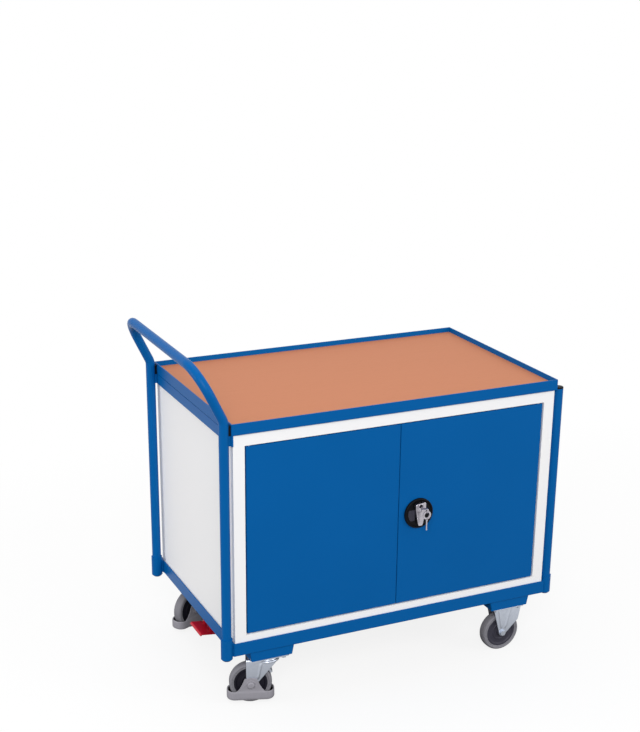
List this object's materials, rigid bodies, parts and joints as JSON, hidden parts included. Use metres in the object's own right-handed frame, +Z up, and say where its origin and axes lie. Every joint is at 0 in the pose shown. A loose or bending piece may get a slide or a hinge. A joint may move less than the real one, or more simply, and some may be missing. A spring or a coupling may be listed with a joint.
{
  "type": "mobile workbench",
  "caption": "Rolling workbench: a board worktop over a two-door steel cabinet on round posts, with a bent push handle, fixed and swivel castors and a shared pedal brake.",
  "frame": {"origin": "floor point under the middle of the whole object's box", "axes": "+X along the length, away from the push handle; -Y towards the doors' front; +Z up"},
  "size_m": [1.1618, 0.6898, 1.0437],
  "materials": {
    "blue_powder_coat": "satin powder coat",
    "white_powder_coat": "satin powder coat",
    "beech_laminate": "matt laminate",
    "black_plastic": "moulded",
    "zinc_plated_steel": "zinc plated",
    "nickel_plated_zinc": "satin nickel",
    "red_powder_coat": "satin powder coat",
    "grey_plastic": "moulded",
    "dark_grey_plastic": "moulded",
    "grey_rubber": "moulded"
  },
  "bodies": {
    "root": {"top_tray_frame": "blue_powder_coat", "worktop_board": "beech_laminate", "bottom_tray_frame": "blue_powder_coat", "bottom_board": "beech_laminate", "post_sockets": "blue_powder_coat", "handle_tube": "blue_powder_coat", "right_posts": "blue_powder_coat", "post_caps": "black_plastic", "post_saddles": "black_plastic", "cross_bars": "blue_powder_coat", "left_castor_beam": "blue_powder_coat", "right_castor_beam": "blue_powder_coat", "castor_bolts": "zinc_plated_steel", "castor_nuts": "zinc_plated_steel", "cabinet_left_side": "white_powder_coat", "cabinet_right_side": "white_powder_coat", "cabinet_back": "white_powder_coat", "cabinet_roof": "white_powder_coat", "cabinet_floor": "white_powder_coat", "cabinet_front_frame": "white_powder_coat", "shelf": "white_powder_coat", "shelf_clips": "zinc_plated_steel", "hinge_pins": "zinc_plated_steel", "brake_brackets": "zinc_plated_steel", "swivel_plates": "zinc_plated_steel", "king_pins": "zinc_plated_steel", "swivel_races": "zinc_plated_steel", "fixed_forks": "zinc_plated_steel", "fixed_axles": "zinc_plated_steel"},
    "left_door": {"left_door": "blue_powder_coat"},
    "right_door": {"right_door": "blue_powder_coat", "lock_rosette": "black_plastic", "lock_rod_guides": "zinc_plated_steel"},
    "lock_grip": {"lock_grip": "nickel_plated_zinc", "lock_cam": "zinc_plated_steel"},
    "upper_lock_rod": {"upper_lock_rod": "zinc_plated_steel"},
    "lower_lock_rod": {"lower_lock_rod": "zinc_plated_steel"},
    "key": {"lock_plug": "nickel_plated_zinc", "key": "nickel_plated_zinc", "key_ring": "nickel_plated_zinc", "spare_key": "nickel_plated_zinc"},
    "brake_pedal": {"brake_pedal": "red_powder_coat", "brake_shaft": "zinc_plated_steel"},
    "front_swivel": {"front_swivel_fork": "zinc_plated_steel", "front_swivel_axle": "zinc_plated_steel", "front_wheel_guard": "grey_plastic"},
    "front_swivel_wheel": {"front_swivel_hub": "dark_grey_plastic", "front_swivel_tyre": "grey_rubber"},
    "front_fixed_wheel": {"front_fixed_hub": "dark_grey_plastic", "front_fixed_tyre": "grey_rubber"},
    "front_brake_shoe": {"front_brake_shoe": "zinc_plated_steel"},
    "rear_swivel": {"rear_swivel_fork": "zinc_plated_steel", "rear_swivel_axle": "zinc_plated_steel", "rear_wheel_guard": "grey_plastic"},
    "rear_swivel_wheel": {"rear_swivel_hub": "dark_grey_plastic", "rear_swivel_tyre": "grey_rubber"},
    "rear_fixed_wheel": {"rear_fixed_hub": "dark_grey_plastic", "rear_fixed_tyre": "grey_rubber"},
    "rear_brake_shoe": {"rear_brake_shoe": "zinc_plated_steel"}
  },
  "joints": [
    {"name": "left_door_hinge", "type": "hinge", "parent": "root", "child": "left_door", "pos_m": [-0.42588, -0.28517, 0.5275], "axis": [0, 0, -1], "range_deg": [0, 110]},
    {"name": "right_door_hinge", "type": "hinge", "parent": "root", "child": "right_door", "pos_m": [0.49612, -0.28517, 0.5275], "axis": [0, 0, 1], "range_deg": [0, 110]},
    {"name": "lock_grip_turn", "type": "hinge", "parent": "right_door", "child": "lock_grip", "pos_m": [0.09913, -0.29117, 0.5275], "axis": [0, 1, 0], "range_deg": [0, 90]},
    {"name": "key_turn", "type": "hinge", "parent": "lock_grip", "child": "key", "pos_m": [0.09913, -0.30847, 0.5525], "axis": [0, 1, 0], "range_deg": [0, 90]},
    {"name": "upper_lock_rod_slide", "type": "slide", "parent": "right_door", "child": "upper_lock_rod", "axis": [0, 0, 1], "range_m": [0, 0.0121]},
    {"name": "lower_lock_rod_slide", "type": "slide", "parent": "right_door", "child": "lower_lock_rod", "axis": [0, 0, -1], "range_m": [0, 0.0121]},
    {"name": "brake_pedal_press", "type": "hinge", "parent": "root", "child": "brake_pedal", "pos_m": [-0.34787, 0.02183, 0.175], "axis": [0, -1, 0], "range_deg": [0, 12], "stiffness_Nm_per_rad": 12, "springref_deg": -5.73},
    {"name": "front_castor_swivel", "type": "hinge", "parent": "root", "child": "front_swivel", "pos_m": [-0.36188, -0.25317, 0.142], "axis": [0, 0, 1], "continuous": true},
    {"name": "front_swivel_wheel_spin", "type": "hinge", "parent": "front_swivel", "child": "front_swivel_wheel", "pos_m": [-0.40726, -0.23754, 0.0625], "axis": [0.3256, 0.9455, 0], "continuous": true},
    {"name": "front_fixed_wheel_spin", "type": "hinge", "parent": "root", "child": "front_fixed_wheel", "pos_m": [0.42412, -0.25317, 0.0625], "axis": [0, 1, 0], "continuous": true},
    {"name": "front_brake_shoe_slide", "type": "slide", "parent": "front_swivel", "child": "front_brake_shoe", "axis": [0, 0, -1], "range_m": [0, 0.003]},
    {"name": "rear_castor_swivel", "type": "hinge", "parent": "root", "child": "rear_swivel", "pos_m": [-0.36188, 0.29683, 0.142], "axis": [0, 0, 1], "continuous": true},
    {"name": "rear_swivel_wheel_spin", "type": "hinge", "parent": "rear_swivel", "child": "rear_swivel_wheel", "pos_m": [-0.40573, 0.27731, 0.0625], "axis": [-0.4067, 0.9135, 0], "continuous": true},
    {"name": "rear_fixed_wheel_spin", "type": "hinge", "parent": "root", "child": "rear_fixed_wheel", "pos_m": [0.42412, 0.29683, 0.0625], "axis": [0, 1, 0], "continuous": true},
    {"name": "rear_brake_shoe_slide", "type": "slide", "parent": "rear_swivel", "child": "rear_brake_shoe", "axis": [0, 0, -1], "range_m": [0, 0.003]}
  ],
  "couplings": [
    {"joint": "upper_lock_rod_slide", "follows": "lock_grip_turn", "m_per_rad": 0.0076394},
    {"joint": "lower_lock_rod_slide", "follows": "lock_grip_turn", "m_per_rad": 0.0076394},
    {"joint": "front_brake_shoe_slide", "follows": "brake_pedal_press", "m_per_rad": 0.014},
    {"joint": "rear_brake_shoe_slide", "follows": "brake_pedal_press", "m_per_rad": 0.014}
  ]
}
